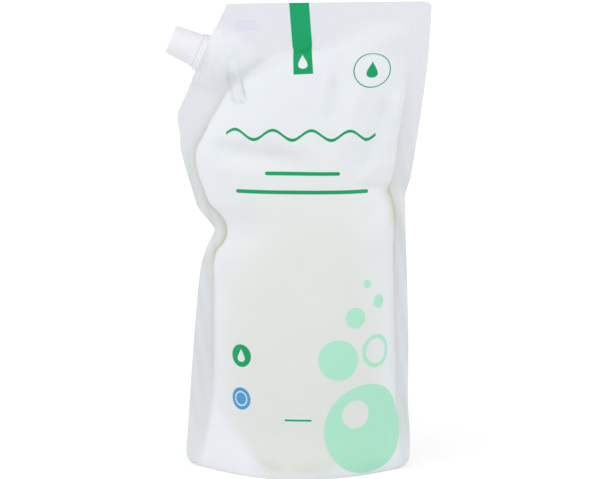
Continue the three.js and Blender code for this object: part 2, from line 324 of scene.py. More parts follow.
# Folds of the film: path of (x, z), half width and height, in millimetres, then tail and nose.
FRONT_FOLDS = (
    Fold(((-38, 168), (-23, 166), (-10, 164.5), (12, 161.5)), 5.5, -3.3),
    Fold(((-37, 122.5), (-28, 124.5), (-14, 128)), 3.4, -0.4),
    Fold(((-34, 136), (-31, 127), (-32, 112)), 3.2, 0.6),
    Fold(((-25, 138), (-23, 127), (-25, 108)), 4, -0.5),
    Fold(((45, 148), (38, 149), (24, 152)), 3, -0.9),
    Fold(((46, 146), (38, 138), (28, 124)), 4, -0.8),
    Fold(((49, 161), (40, 160), (30, 158)), 4, 0.8),
    Fold(((46, 199), (41.5, 187), (33, 165), (26, 148)), 3.5, -2.9, 0.35, 0.25),
    Fold(((51, 202), (49, 182), (45, 164)), 2.6, 1.7, 0.3, 0.25),
    Fold(((31, 208), (30, 196), (26, 180), (19, 160)), 4.6, 2, 0.4, 0.25),
    Fold(((19, 210), (18, 200), (15, 189), (8, 178)), 3.6, -1.6, 0.4, 0.3),
    Fold(((15.5, 220), (14.5, 207), (13, 190), (8, 168)), 2.8, 1.6, 0.5, 0.25),
    Fold(((51, 178), (43.5, 150), (34, 118)), 6, -0.8),
)
BACK_FOLDS = (
    Fold(((-37, 122.5), (-26, 126), (-8, 131)), 4.4, -2.2),
    Fold(((45, 148), (34, 146), (16, 141)), 4.4, -2),
    Fold(((-40, 160), (-10, 166), (24, 162)), 7, -1.2),
    Fold(((30, 214), (22, 184), (14, 144)), 7, 0.9),
    Fold(((-10, 208), (-8, 180), (-14, 146)), 6, -0.8),
)

# The pleat below the spout's channel: a finger, a crease along it and a groove each side that holds soap. The
# crease and grooves take the soap line's colour: soap, and painted shade.
PLEAT_FOLDS = (
    Fold(((-34.4, 216), (-33.4, 208.5), (-31.2, 199.5), (-28.8, 192.5)), 1.5, 3, 0.1, 0.35),
    Fold(((-33.6, 211), (-32.7, 206), (-30.6, 198)), 0.55, -0.7, 0.3, 0.3),
    Fold(((-37, 210), (-36, 203.5), (-33.9, 197), (-30.8, 190.5)), 0.65, -1, 0.2, 0.35),
    Fold(((-30, 207), (-28.8, 201), (-26.8, 194.5)), 0.8, -1.1, 0.3, 0.35),
)
PLEAT_LOW = 180
# Share of the soap line's colour, soap and painted shade, in the pleat's crease and grooves, by their depth.
PLEAT_SOAP_AND_SHADE = 0.2

# Dents of the film, broad and fine: their width and height, and their depth.
BROAD_DENTS = (26, 40)
FINE_DENTS = (9, 13)
BROAD_DEPTH = 0.3
fine_depth = ramp(140, 190, 0.04, 0.14)

# Film over the spout's foot: how far it spans past it and over it, where it comes off behind it, and how it
# flares, is welded and is ribbed.
SPOUT_REACH = 60
FOOT_SPAN = 4
FOOT_COVER = 0.5
FOOT_END = (-2, 8)
foot_flare = ramp(0, 9, 1.3, 1)
foot_weld = ramp(5, 12, 1, 0)
weld_strength = ramp(0.6, 3)
RIB_PITCH = 2.6
rib_reach = ramp(8, 11, 1, 0)
rib_height = ramp(-5, 4, 0.08, 0.3)
rib_strength = ramp(0.8, 3)

# The channel that the spout opens in the slack film, how it opens behind the foot, and its weld by its rise.
CHANNEL_START = -45
CHANNEL_RUN = 27
CHANNEL_LEVEL = 219
CHANNEL_HALF = 14.5
CHANNEL_RISE = 4.0
CHANNEL_SINK = 2.5
channel_mouth = ramp(3, 12)
channel_weld = ramp(0.5, 3, 1, 0)

# Where the seam plane starts to lean forward, and over which height it does so.
LEAN_START = 112
LEAN_RUN = 50

# The cut corner: where it can begin, how far its seal reaches in, how mesh columns crowd towards it.
CUT_START = 160
CUT_SEAL = 12.5
crowding = ramp(165, 195, 1, 1.3)

# The top edge: its slope, the x where it is level with the pack's height, and where the slope begins.
TOP_SLOPE = 0.018
TOP_PIVOT = 30
TOP_START = 226

# By height: how far the base's rim stands out, and the depth of body over which a seam's look fades.
toe = ramp(0, 24, 3, 0)
seam_rise = ramp(196, 222, 1.6, 8)

# By depth of the body: how slack the film is and how much soap shows. The soap fades round its fill line.
slack_share = ramp(0, 3.5)
soap_share = ramp(6, 27)
SOAP_FADE = (-24, 20)

# The free edges of the seams: a kink on each side, and waves between a low and a high end.
LEFT_KINK = 124
RIGHT_KINK = 145
KINK_HEIGHT = 3.0
KINK_WIDTH = 9
EDGE_SWING = 0.45
edge_low = ramp(4, 40)
edge_high = ramp(168, 186, 1, 0)

# The base film: its ends fold up and come down again, and a skirt runs along each rim.
fold_up = ramp(0.34, 0.60)
fold_down = ramp(0.62, 0.74, 1, 0)
FOLD_HEIGHT = 14
SKIRT = 0.4
SKIRT_HEIGHT = 2.5

# What the film's look depends on, from 0 to 1. The fin is how far out in a side seal a place is.
SHARES = ("weld", "thick_weld", "soap", "fin", "caught_soap")
FilmPoint = namedtuple("FilmPoint", "place shares")


def spout_axes():
    """Directions up along the cut edge and out of the spout."""
    out = Vector(TURN["axis"]).normalized()
    front = Vector((1, 0, 0)).cross(out).normalized()
    return out.cross(front), out


class FilmShape:
    """The standing, filled pack as a surface. Lengths are in millimetres."""

    def __init__(self, film, fitment):
        self.height = film.height / MM
        self.half_seam = film.seam / MM / 2
        self.base_corner = film.base_corner / MM
        self.top_corner = film.top_corner / MM
        self.creases = film.creases
        self.body_share = film.columns / (film.columns + 2 * film.seal_columns)
        self.soap_level = ramp(*(film.fill_height / MM + end for end in SOAP_FADE), 1, 0)
        self.along, self.out = spout_axes()
        self.origin = Vector(TURN["pos_m"]) / MM
        self.lean = self.along.y / self.along.z
        self.cut_slope = self.along.x / self.along.z
        self.foot_taper = ramp(*(fitment.boat_depth / MM + end for end in FOOT_END), 1, 0)
        self.foot_half = fitment.boat_half / MM + FOOT_SPAN
        self.foot_rise = fitment.boat_rise / MM + FOOT_COVER
        rim, belly, head = [depth / MM for depth in (film.rim_depth, film.belly_depth, film.head_depth)]

        def depths(slump, slack):
            """Depth of a panel by height. Slump is the share of the way from belly to head."""
            return smooth_curve(
                (0, rim), (16, mix(rim, belly, 0.5)), (48, belly),
                *((z, mix(belly, head, part)) for z, part in slump),
                *((z, head * part) for z, part in slack), (234.5, 0), (self.height, 0))

        self.front_depth = depths(
            ((84, 0.05), (112, 0.2), (137, 0.48), (162, 0.78)), ((187, 1), (210, 0.72), (226, 0.34)))
        self.back_depth = depths(
            ((84, 0.06), (112, 0.24), (137, 0.6), (162, 0.95)), ((187, 0.82), (210, 0.6), (226, 0.28)))
        self.sections = {}

    def seam_plane(self, z):
        above = max(0.0, z - LEAN_START)
        if above < LEAN_RUN:
            return self.lean * above * above / (2 * LEAN_RUN)
        return self.lean * (above - LEAN_RUN / 2)

    def cut_edge(self, z):
        return self.origin.x + (z - self.origin.z) * self.cut_slope

    def section(self, z):
        """Edges, seams, laps and depths of the pack at a height."""
        if z not in self.sections:
            left = left_edge(z) + corner_cut(z, self.base_corner)
            right = right_edge(z) - corner_cut(z, self.base_corner)
            right -= corner_cut(self.height - z, self.top_corner)
            body_left = left_seam(z)
            guide = body_left
            if z > CUT_START:
                left = max(left, self.cut_edge(z))
                guide = min(body_left, left + CUT_SEAL)
            self.sections[z] = SimpleNamespace(
                left=left, right=right, guide=guide, body_left=body_left, body_right=right_seam(z),
                left_lap=left_lap(z), right_lap=right_lap(z), flatness=flatness(z), fullness=fullness(z),
                front=max(0.0, self.front_depth(z)), back=max(0.0, self.back_depth(z)), crowding=crowding(z))
        return self.sections[z]

    def spread(self, across, here):
        """The x of a mesh column, and how far out in a side seal it is."""
        body = self.body_share
        if across < -body:
            fin = min(1.0, (-body - across) / (1 - body))
            return mix(here.guide, here.left, fin), fin
        if across > body:
            fin = min(1.0, (across - body) / (1 - body))
            return mix(here.body_right, here.right, fin), fin
        return mix(here.guide, here.body_right, ((across / body + 1) / 2) ** here.crowding), 0.0

    def spout_room(self, x, z):
        """How far the film stands off the seam plane over the spout's foot and over the channel behind it,
        and its share of the weld to the foot."""
        place = Vector((x, self.seam_plane(z), z)) - self.origin
        inward = -place.dot(self.out)
        if inward > SPOUT_REACH:
            return 0.0, 0.0, 0.0
        up = place.dot(self.along)
        off = min(1.0, abs(up) / self.foot_half)
        foot = self.foot_rise * foot_flare(inward) * (1 - off * off) ** 1.5 * self.foot_taper(inward)
        ribs = math.cos(2 * math.pi * inward / RIB_PITCH) * rib_reach(inward)
        foot += rib_height(-up) * ribs * rib_strength(foot)
        welded = weld_strength(foot) * foot_weld(inward)
        part = min(1.0, max(0.0, (x - CHANNEL_START) / CHANNEL_RUN))
        half = CHANNEL_HALF * (1 - part ** 2.6)
        gap = abs(z - CHANNEL_LEVEL + CHANNEL_SINK * part)
        if gap >= half:
            return foot, 0.0, welded
        channel = CHANNEL_RISE * (1 - (gap / half) ** 2.5) ** 1.3 * (1 - part ** 3) ** 1.1
        return foot, channel * channel_mouth(inward), welded

    def point(self, across, z, side):
        """The film at a mesh column and a height. Side is -1 in front and 1 behind."""
        here = self.section(z)
        x, fin = self.spread(across, here)
        half = (here.body_right - here.body_left) / 2
        offset = min(1.0, abs(x - (here.body_left + here.body_right) / 2) / half)
        dome = (here.front if side < 0 else here.back) * (1 - offset ** here.flatness) ** here.fullness
        foot, channel, welded = self.spout_room(x, z)
        stand = (dome ** 3 + foot ** 3 + channel ** 3) ** (1 / 3)
        stand += self.slack(x, z, side) * slack_share(dome)
        # Soap along the seams and the base weld, and painted shade of their creases.
        soap_and_shade = self.caught_soap(x, z, here)
        if side < 0 and z > PLEAT_LOW:
            pleats = [fold.rise(x, z) for fold in PLEAT_FOLDS]
            stand += self.creases * sum(pleats)
            # The pleat's crease and grooves get soap and painted shade too, more where they are deeper.
            soap_and_shade = max(soap_and_shade, -min(pleats) * PLEAT_SOAP_AND_SHADE)
        depth = self.half_seam + max(0.0, stand) + toe(z) * (1 - fin)
        lapped = x - here.left_lap * self.lap(x - here.body_left)
        lapped += here.right_lap * self.lap(here.body_right - x)
        leant = self.seam_plane(z) + self.seam_wave(x, z) * fin + side * depth
        tip = TOP_SLOPE * (x - TOP_PIVOT) * smooth_step(z, TOP_START, self.height)
        rise = seam_rise(z)
        seam = smooth_step(rise - dome, 0, rise) * channel_weld(channel)
        blur = base_blur(abs(x))
        thick = max(welded, base_strength(abs(x)) * smooth_step(base_weld(abs(x)) - z, -blur, blur))
        soap = self.soap_level(z) * max(seam, soap_share(dome) * (1 - thick))
        shares = dict(zip(SHARES, (max(seam, thick), thick, soap, fin, soap_and_shade)))
        return FilmPoint(Vector((lapped, leant, z + tip)), shares)

    def caught_soap(self, x, z, here):
        """Soap and painted crease shade along the seams and base weld: most at a weld's edge, gone in a few
        millimetres.
        """
        left = left_line(z) * hump(x - here.body_left, LEFT_LINE_WIDTHS[x >= here.body_left])
        right = right_line(z) * hump(x - here.body_right, RIGHT_LINE_WIDTHS[x <= here.body_right])
        low = hump(z - base_weld(abs(x)) - LOW_LINE_RISE, LOW_LINE_WIDTH) * low_line(abs(x))
        return left + right + low * (LOW_LINE_SHARE + LOW_LINE_RIPPLE * math.sin(x / 3))

    def lap(self, inside):
        """Share of the lap at a distance inside the seam: the film swells past the seam, then comes back."""
        return inside / LAP_PEAK * math.exp(1 - inside / LAP_PEAK) if inside > 0 else 0.0

    def slack(self, x, z, side):
        """Folds of the slack film, with broad dents, and small ones in the empty head."""
        folds = sum(fold.rise(x, z) for fold in (FRONT_FOLDS if side < 0 else BACK_FOLDS))
        broad = noise.noise(Vector((x / BROAD_DENTS[0], z / BROAD_DENTS[1], 3.7 * side)))
        fine = noise.noise(Vector((x / FINE_DENTS[0], z / FINE_DENTS[1], 8.1 + side)))
        return self.creases * (folds + BROAD_DEPTH * broad + fine_depth(z) * fine)

    def seam_wave(self, x, z):
        """The free edge of each seam waves a little, and kinks where the pack buckles."""
        level, phase = (LEFT_KINK, 0.4) if x < 0 else (RIGHT_KINK, 2.1)
        wave = math.sin(z / 13 + phase) + 0.6 * math.sin(z / 6.1 + x)
        kink = KINK_HEIGHT * hump(z - level, KINK_WIDTH)
        return edge_low(z) * edge_high(z) * (kink + EDGE_SWING * wave)

    def base(self, across, through):
        """The base film between the two rims: on the floor in the middle, folded up towards both ends."""
        end = abs(across)
        if end > 0.9999:
            through = -1.0 if through <= 0 else 1.0
        front = self.point(across, 0.0, -1).place
        back = self.point(across, 0.0, 1).place
        place = front.lerp(back, (through + 1) / 2)
        skirt = max(0.0, abs(through) - (1 - SKIRT)) / SKIRT
        place.z = FOLD_HEIGHT * fold_up(end) * fold_down(end) * (1 - through * through)
        place.z += SKIRT_HEIGHT * math.sin(math.pi * skirt) * (1 - end ** 4)
        return place


# The back, the edges and the base lie this far along the flat film from the printed front, in millimetres.
UNPRINTED = 1000

# Millimetres of flat film to one unit of its UV map.
FLAT_UNIT = 100

# Lower part of the pack, which has fewer mesh rows: its height in millimetres and its share of the rows.
CALM_HEIGHT = 100
CALM_ROWS = 0.3
BASE_ROWS = 36


def film_grid(bm, columns, rows, place):
    """Adds a grid whose vertices are put in place by a function of their column and row shares, -1 to 1."""
    for vert in bmesh.ops.create_grid(bm, x_segments=columns, y_segments=rows, size=1)["verts"]:
        place(vert, vert.co.x, vert.co.y)


def build_film_mesh(film, fitment):
    """The film pack as one closed skin, with its flat-film coordinates as a UV map."""
    shape = FilmShape(film, fitment)
    columns = film.columns + 2 * film.seal_columns
    rows = film.rows
    bm = bmesh.new()
    layers = {name: bm.verts.layers.float.new(name) for name in (*SHARES, "flat_x", "flat_z")}
    points = {}

    def film_at(across, level, side):
        key = (round(across, 5), round(level, 5), side)
        if key not in points:
            points[key] = shape.point(across, level, side)
        return points[key]

    def height_of(up):
        """Rows stand closer together in the creased upper part."""
        part = (up + 1) / 2
        if part < CALM_ROWS:
            return CALM_HEIGHT * part / CALM_ROWS
        return mix(CALM_HEIGHT, shape.height, (part - CALM_ROWS) / (1 - CALM_ROWS))

    def flat_places(side):
        """Distance along the film, outwards from its middle column and up its middle row."""
        flat = {}
        middle = columns // 2
        climb = 0.0
        before = None
        for row in range(rows + 1):
            level = height_of(2 * row / rows - 1)
            places = [film_at(2 * i / columns - 1, level, side).place for i in range(columns + 1)]
            if before is not None:
                climb += (places[middle] - before).length
            before = places[middle]
            flat[middle, row] = (before.x, climb)
            for step in (1, -1):
                run = before.x
                for i in range(middle + step, columns + 1 if step > 0 else -1, step):
                    run += step * (places[i] - places[i - step]).length
                    flat[i, row] = (run, climb)
        return flat

    def put(vert, place, flat_x=UNPRINTED, flat_z=0.0, **shares):
        vert.co = place * MM
        for name, value in {**shares, "flat_x": flat_x, "flat_z": flat_z}.items():
            vert[layers[name]] = value

    def panel(side):
        flat = flat_places(side)

        def place(vert, across, up):
            across = -side * across
            here = film_at(across, height_of(up), side)
            run, climb = flat[round((across + 1) / 2 * columns), round((up + 1) / 2 * rows)]
            put(vert, here.place, run + UNPRINTED if side > 0 else run, climb, **here.shares)
        return place

    def edge(across):
        def place(vert, through, up):
            here = film_at(across, height_of(up), 1 if through * across > 0 else -1)
            put(vert, here.place, weld=1.0, fin=1.0, soap=here.shares["soap"])
        return place

    def top(vert, across, through):
        put(vert, film_at(across, shape.height, 1 if through > 0 else -1).place, weld=1.0)

    def base(vert, across, through):
        put(vert, shape.base(-across, through), soap=1.0)

    film_grid(bm, columns, rows, panel(-1))
    film_grid(bm, columns, rows, panel(1))
    film_grid(bm, 1, rows, edge(-1))
    film_grid(bm, 1, rows, edge(1))
    film_grid(bm, columns, 1, top)
    film_grid(bm, columns, BASE_ROWS, base)

    uv = bm.loops.layers.uv.new("flat_film")
    for face in bm.faces:
        for loop in face.loops:
            loop[uv].uv = [loop.vert[layers[name]] / FLAT_UNIT for name in ("flat_x", "flat_z")]
    bmesh.ops.remove_doubles(bm, verts=bm.verts, dist=1e-6)
    bmesh.ops.dissolve_degenerate(bm, edges=bm.edges, dist=1e-7)
    bmesh.ops.recalc_face_normals(bm, faces=bm.faces)
    return bm


def finish_piece(name, bm, material, sharp=40):
    """Turns a bmesh into an object at the origin."""
    mesh = bpy.data.meshes.new(name)
    bm.to_mesh(mesh)
    bm.free()
    mesh.shade_smooth()
    mesh.set_sharp_from_angle(angle=math.radians(sharp))
    mesh.materials.append(material)
    piece = bpy.data.objects.new(name, mesh)
    bpy.context.scene.collection.objects.link(piece)
    return piece


def set_on_spout(bm):
    """Moves a moulding from its own axes, X up along the cut edge and Z out of the pouch, to the spout's."""
    along, out = spout_axes()
    turn = Matrix((along, out.cross(along), out)).transposed().to_4x4()
    bmesh.ops.recalc_face_normals(bm, faces=bm.faces)
    bmesh.ops.transform(bm, matrix=Matrix.Translation(Vector(TURN["pos_m"])) @ turn, verts=bm.verts)
    return bm


def turned(bm, profile, steps=72):
    """Spins a closed (radius, height) profile round Z into a solid. A stretch on the axis is left out."""
    verts = [bm.verts.new((radius, 0.0, height)) for radius, height in profile]
    pairs = zip(verts, verts[1:] + verts[:1])
    edges = [bm.edges.new(pair) for pair in pairs if any(vert.co.x > 0 for vert in pair)]
    bmesh.ops.spin(bm, geom=verts + edges, cent=(0, 0, 0), axis=(0, 0, 1), angle=2 * math.pi,
                   steps=steps, use_merge=True)
    bmesh.ops.remove_doubles(bm, verts=bm.verts, dist=1e-7)


def rounded(corners, steps=5):
    """A closed profile with each (radius, height, rounding) corner turned into an arc."""
    points = []
    for i, (radius, height, rounding) in enumerate(corners):
        here = Vector((radius, height))
        if rounding <= 0:
            points.append((radius, height))
            continue
        before = (Vector(corners[i - 1][:2]) - here).normalized()
        after = (Vector(corners[(i + 1) % len(corners)][:2]) - here).normalized()
        half_angle = before.angle(after) / 2
        reach = rounding / math.tan(half_angle)
        centre = here + (before + after).normalized() * (rounding / math.sin(half_angle))
        start = here + before * reach - centre
        end = here + after * reach - centre
        for k in range(steps + 1):
            points.append(tuple(centre + start.lerp(end, k / steps).normalized() * rounding))
    return points


def add_thread(bm, radius, start, fitment, turns=1.5, turn_steps=48):
    """A rounded ridge that climbs round the axis, half sunk in the wall."""
    ring = bmesh.ops.create_circle(bm, cap_ends=True, segments=10, radius=fitment.ridge)["verts"]
    bmesh.ops.rotate(bm, verts=ring, cent=(0, 0, 0), matrix=Matrix.Rotation(math.radians(90), 3, "X"))
    bmesh.ops.translate(bm, verts=ring, vec=(radius, 0, start))
    faces = list({face for vert in ring for face in vert.link_faces})
    steps = int(turn_steps * turns)
    bmesh.ops.spin(bm, geom=faces, cent=(0, 0, 0), axis=(0, 0, 1), angle=2 * math.pi * turns, steps=steps,
                   dvec=(0, 0, fitment.pitch * turns / steps))


# Small sizes of the spout, the cap and the disc.
EDGE_ROUND = 0.3 * MM
FINE_ROUND = 0.2 * MM
MOUTH_ROUND = 0.4 * MM
BEAD_ROUND = 0.15 * MM
CAP_ROUND = 1.2 * MM
GROOVE_DEPTH = 0.4 * MM
GROOVE_MOUTH = 0.3 * MM
GROOVE_FLOOR = 0.1 * MM
SEAT_GAP = 0.6 * MM
SEAT_SLOPE = 0.1 * MM
SEAT_HEIGHT = 0.2 * MM
FOOT_LAP = 0.4 * MM
BEAD_HEIGHT = 1.9 * MM
BEAD_TAPER = 0.16 * MM
BEAD_DROP = 0.34 * MM
BEAD_STEP = 0.3 * MM
CAP_DISH = 0.12 * MM
LEAD_WIDTH = 0.5 * MM
LEAD_HEIGHT = 0.6 * MM
DISC_GAP = 0.3 * MM
DISC_BEVEL = 0.15 * MM


def build_spout(fitment):
    """Boat-shaped foot, grooved collar and threaded neck, moulded in one."""
    bm = bmesh.new()
    f = fitment
    floor = f.collar - GROOVE_DEPTH
    middle = (f.collar_low + f.collar_high) / 2
    rim = f.cap_foot - SEAT_GAP
    seat = f.collar_high + SEAT_HEIGHT
    turned(bm, rounded([
        (f.bore, -f.boat_depth, 0), (f.neck, -f.boat_depth, 0), (f.neck, f.collar_low, 0),
        (f.collar, f.collar_low, EDGE_ROUND), (f.collar, middle - GROOVE_MOUTH, FINE_ROUND),
        (floor, middle - GROOVE_FLOOR, 0), (floor, middle + GROOVE_FLOOR, 0),
        (f.collar, middle + GROOVE_MOUTH, FINE_ROUND), (f.collar, f.collar_high, EDGE_ROUND),
        (rim, f.collar_high, 0), (rim - SEAT_SLOPE, seat, 0), (f.neck, seat, EDGE_ROUND),
        (f.neck, f.neck_top, MOUTH_ROUND), (f.bore, f.neck_top, EDGE_ROUND)]))
    add_thread(bm, f.neck, f.thread_start, f)
    foot = bmesh.ops.create_circle(bm, cap_ends=True, segments=64, radius=1)["verts"]
    for vert in foot:
        along = vert.co.x * f.boat_half
        side = math.copysign(1, vert.co.y) if abs(vert.co.y) > 1e-6 else 0
        vert.co = (along, side * arc_rise(along, f.boat_half, f.boat_rise), -f.boat_depth)
    faces = list({face for vert in foot for face in vert.link_faces})
    pushed = bmesh.ops.extrude_face_region(bm, geom=faces)["geom"]
    lifted = [item for item in pushed if isinstance(item, bmesh.types.BMVert)]
    bmesh.ops.translate(bm, verts=lifted, vec=(0, 0, f.boat_depth + FOOT_LAP))
    return set_on_spout(bm)


def build_cap(fitment):
    """A tapered cap with a bead round its foot and a thread inside."""
    bm = bmesh.new()
    f = fitment
    bead = f.cap_foot - BEAD_TAPER
    bead_top = f.cap_low + BEAD_HEIGHT
    turned(bm, rounded([
        (f.cap_bore + LEAD_WIDTH, f.cap_low, FINE_ROUND), (f.cap_foot, f.cap_low, BEAD_ROUND),
        (bead, bead_top, 0), (bead - BEAD_DROP, bead_top + BEAD_STEP, 0),
        (f.cap_head, f.cap_high, CAP_ROUND), (0, f.cap_high - CAP_DISH, 0), (0, f.cap_ceiling, 0),
        (f.cap_bore, f.cap_ceiling, EDGE_ROUND), (f.cap_bore, f.cap_low + LEAD_HEIGHT, 0)]))
    add_thread(bm, f.cap_bore, f.thread_start - f.pitch / 2, f)
    return set_on_spout(bm)


def build_disc(fitment):
    """The foam disc that seals the mouth."""
    bm = bmesh.new()
    f = fitment
    radius = f.cap_bore - DISC_GAP
    bmesh.ops.create_cone(bm, cap_ends=True, segments=64, radius1=radius, radius2=radius, depth=f.disc)
    rims = [edge for edge in bm.edges if edge.calc_face_angle(0) > 1]
    bmesh.ops.bevel(bm, geom=rims, offset=DISC_BEVEL, segments=2, profile=0.5, affect="EDGES", material=-1)
    bmesh.ops.translate(bm, verts=bm.verts, vec=(0, 0, f.neck_top + DISC_GAP + f.disc / 2))
    return set_on_spout(bm)


def set_inputs(node, inputs):
    """Links or sets a node's inputs, given by name or number, or in their order."""
    for key, value in inputs.items() if isinstance(inputs, dict) else enumerate(inputs):
        if isinstance(value, bpy.types.NodeSocket):
            node.id_data.links.new(value, node.inputs[key])
        else:
            node.inputs[key].default_value = value


def add_node(tree, kind, inputs=(), operation=None, **settings):
    """Adds a shader node, sets its operation, settings and inputs, and gives its outputs."""
    node = tree.nodes.new("ShaderNode" + kind)
    if operation:
        node.operation = operation
    for key, value in settings.items():
        setattr(node, key, value)
    set_inputs(node, inputs)
    return node.outputs


def new_material(name, values):
    """A material with these values on its shader, and a function that adds nodes to it."""
    material = bpy.data.materials.new(name)
    material.use_nodes = True
    tree = material.node_tree
    shader = tree.nodes["Principled BSDF"]
    set_inputs(shader, values)
    return material, shader, partial(add_node, tree)


# Print on the front, in millimetres on the flat film: x from the middle, z up from the bottom edge.
# A bare shape lets the film show through what is printed before it.
# Print stays off the side seals, apart from a shape that is on a seal.
Print = namedtuple("Print", "shape ink middle sizes lean on_seal", defaults=(0.0, False))
BARE = None
STRIP_LEAN = math.radians(-3.6)
PRINT_BLUR = 0.16
PRINT = (
    Print("field", "green", (1.25, 238), (5.05, 24, 0.3), STRIP_LEAN),
    Print("drop", BARE, (2.3, 221), (2.5, 4), STRIP_LEAN),
    # A pale bluish field on the top seal, a little darker than the seal round it.
    Print("field", "pale", (-27.2, 241.2), (5.5, 3.1, 0.8), STRIP_LEAN, True),
    Print("ring", "green", (38.2, 216.4), (9.3, 0.6)),
    Print("drop", "green", (38.2, 217), (3, 4.7)),
    Print("wave", "green", (2, 181.2), (39.7, 2.7, 19.85, 1.7)),
    Print("field", "green", (2.3, 160.8), (19.2, 1, 1)),
    Print("field", "green", (2.3, 151.2), (34.6, 1, 1)),
    Print("disc", "green", (-30, 64), (5.9,)),
    Print("drop", BARE, (-30, 64.4), (2.3, 3.6)),
    Print("disc", "blue", (-30.5, 41.3), (5.9,)),
    Print("ring", BARE, (-30.5, 41.3), (3.6, 0.7)),
    Print("field", "green", (0.7, 31.6), (7, 0.5, 0.5)),
    Print("disc", "mint", (38, 25.5), (24,)),
    Print("disc", BARE, (31, 34), (7.5,)),
    Print("disc", "mint", (21.5, 63), (10.5,)),
    Print("ring", "mint", (43, 66.5), (7.6, 2.2)),
    Print("disc", "mint", (30.5, 84.5), (5.4,)),
    Print("disc", "mint", (44.5, 92), (3.4,)),
    Print("disc", "mint", (37, 101.5), (2.2,)),
)

# The girth of a drop's formula where it is widest.
DROP_GIRTH = 1.299


def disc_gap(add, place, radius):
    """Distance outside a disc."""
    far = add("VectorMath", (place,), "LENGTH")["Value"]
    return add("Math", (far, radius), "SUBTRACT")[0]


def field_gap(add, place, half_width, half_height, corner):
    """Distance outside a field with rounded corners."""
    inner = (half_width - corner, half_height - corner, 0)
    reach = add("VectorMath", (place,), "ABSOLUTE")[0]
    over = add("VectorMath", (reach, inner), "SUBTRACT")[0]
    outside = add("VectorMath", (over, (0, 0, 0)), "MAXIMUM")[0]
    return disc_gap(add, outside, corner)


def ring_gap(add, place, radius, line):
    """Distance outside a ring of that line width."""
    away = add("Math", (disc_gap(add, place, radius),), "ABSOLUTE")[0]
    return add("Math", (away, line / 2), "SUBTRACT")[0]


def wave_gap(add, place, half_length, swing, wavelength, line):
    """Distance outside a wavy line."""
    x, z, _ = add("SeparateXYZ", (place,))
    turn = add("Math", (x, 2 * math.pi / wavelength), "MULTIPLY")[0]
    crest = add("Math", (turn,), "SINE")[0]
    off = add("Math", (crest, -swing, z), "MULTIPLY_ADD")[0]
    away = add("Math", (off,), "ABSOLUTE")[0]
    beside = add("Math", (away, line / 2), "SUBTRACT")[0]
    run = add("Math", (x,), "ABSOLUTE")[0]
    past = add("Math", (run, half_length), "SUBTRACT")[0]
    return add("Math", (beside, past), "MAXIMUM")[0]


def drop_gap(add, place, half_width, half_height):
    """Distance outside a drop, round below and pointed above."""
    x, z, _ = add("SeparateXYZ", (place,))
    level = add("MapRange", (z, -half_height, half_height, -1.0, 1.0))[0]
    square = add("Math", (level, 2.0), "POWER")[0]
    round_part = add("Math", (1.0, square), "SUBTRACT")[0]
    root = add("Math", (round_part,), "SQRT")[0]
    taper = add("Math", (1.0, level), "SUBTRACT")[0]
    girth = add("Math", (root, taper), "MULTIPLY")[0]
    run = add("Math", (x,), "ABSOLUTE")[0]
    gap = add("Math", (girth, -half_width / DROP_GIRTH, run), "MULTIPLY_ADD")[0]
    return add("Math", (gap, PRINT_BLUR / 2), "ADD")[0]


GAPS = {"disc": disc_gap, "field": field_gap, "ring": ring_gap, "wave": wave_gap, "drop": drop_gap}


def printed(add, film, bare, fin):
    """Lays the print over the bare film's colour."""
    flat = add("UVMap", uv_map="flat_film")[0]
    millimetres = add("VectorMath", {0: flat, "Scale": FLAT_UNIT}, "SCALE")[0]
    inkable = add("Math", (fin, 0.02), "LESS_THAN")[0]
    shown = bare
    for row in PRINT:
        place = add("VectorMath", (millimetres, (*row.middle, 0)), "SUBTRACT")[0]
        if row.lean:
            place = add("VectorRotate", {"Vector": place, "Angle": row.lean}, rotation_type="Z_AXIS")[0]
        gap = GAPS[row.shape](add, place, *row.sizes)
        inside = add("Math", (gap, -1 / PRINT_BLUR, 0.5), "MULTIPLY_ADD", use_clamp=True)[0]
        cover = add("Math", (inside, 1.0 if row.on_seal else inkable), "MULTIPLY")[0]
        ink = bare if row.ink is BARE else getattr(film, row.ink)
        shown = add("Mix", {"Factor": cover, 6: shown, 7: ink}, data_type="RGBA")[2]
    return shown


# Most of a noise texture lies between these values.
NOISE = (0.3, 0.7)


def vary_surface(add, shader, base, tone, gloss, bumps):
    """Varies a colour and the roughness by textures, and lays bumps over each other. Tone and gloss are a
    texture, its low and high values and what these give. A bump is a texture and its height."""
    shade = add("MapRange", tone)[0]
    toned = add("Mix", {"Factor": 1.0, 6: base, 7: shade}, data_type="RGBA", blend_type="MULTIPLY")[2]
    below = {}
    for texture, height in bumps:
        bump = add("Bump", {"Height": texture, "Distance": height, "Strength": 1.0, **below})[0]
        below = {"Normal": bump}
    set_inputs(shader, {"Base Color": toned, "Roughness": add("MapRange", gloss)[0], "Normal": bump})


